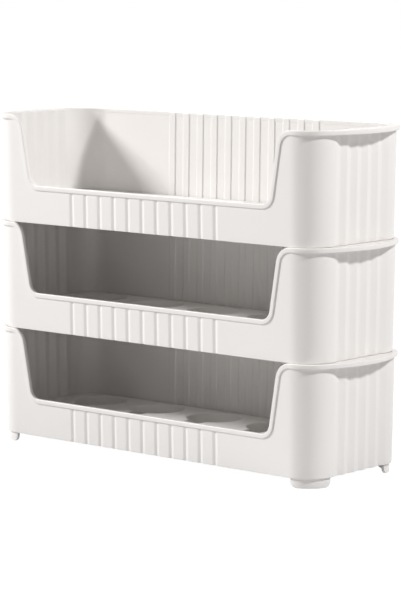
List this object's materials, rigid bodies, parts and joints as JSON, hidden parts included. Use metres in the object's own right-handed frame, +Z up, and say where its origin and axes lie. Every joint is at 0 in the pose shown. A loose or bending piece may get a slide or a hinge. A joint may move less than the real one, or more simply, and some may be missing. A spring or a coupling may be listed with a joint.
{
  "type": "stacking egg keeper",
  "caption": "Stack of open-fronted plastic egg bins with finger grips and nesting feet, each with a lift-out tray that seats standing eggs.",
  "frame": {"origin": "middle of the footprint, on the surface that the lowest feet stand on", "axes": "+X to the right along the front, +Y to the back, +Z up"},
  "size_m": [0.3106, 0.1012, 0.2315],
  "materials": {
    "bin_plastic": "satin",
    "tray_plastic": "satin"
  },
  "bodies": {
    "lower_bin": {"lower_bin": "bin_plastic"},
    "middle_bin": {"middle_bin": "bin_plastic"},
    "upper_bin": {"upper_bin": "bin_plastic"},
    "lower_tray": {"lower_tray": "tray_plastic"},
    "middle_tray": {"middle_tray": "tray_plastic"},
    "upper_tray": {"upper_tray": "tray_plastic"}
  },
  "joints": [
    {"name": "middle_bin_lift", "type": "slide", "parent": "lower_bin", "child": "middle_bin", "axis": [0, 0, 1], "range_m": [0, 0.08]},
    {"name": "upper_bin_lift", "type": "slide", "parent": "middle_bin", "child": "upper_bin", "axis": [0, 0, 1], "range_m": [0, 0.08]},
    {"name": "lower_tray_lift", "type": "slide", "parent": "lower_bin", "child": "lower_tray", "axis": [0, 0, 1], "range_m": [0, 0.05]},
    {"name": "middle_tray_lift", "type": "slide", "parent": "middle_bin", "child": "middle_tray", "axis": [0, 0, 1], "range_m": [0, 0.05]},
    {"name": "upper_tray_lift", "type": "slide", "parent": "upper_bin", "child": "upper_tray", "axis": [0, 0, 1], "range_m": [0, 0.085]}
  ]
}
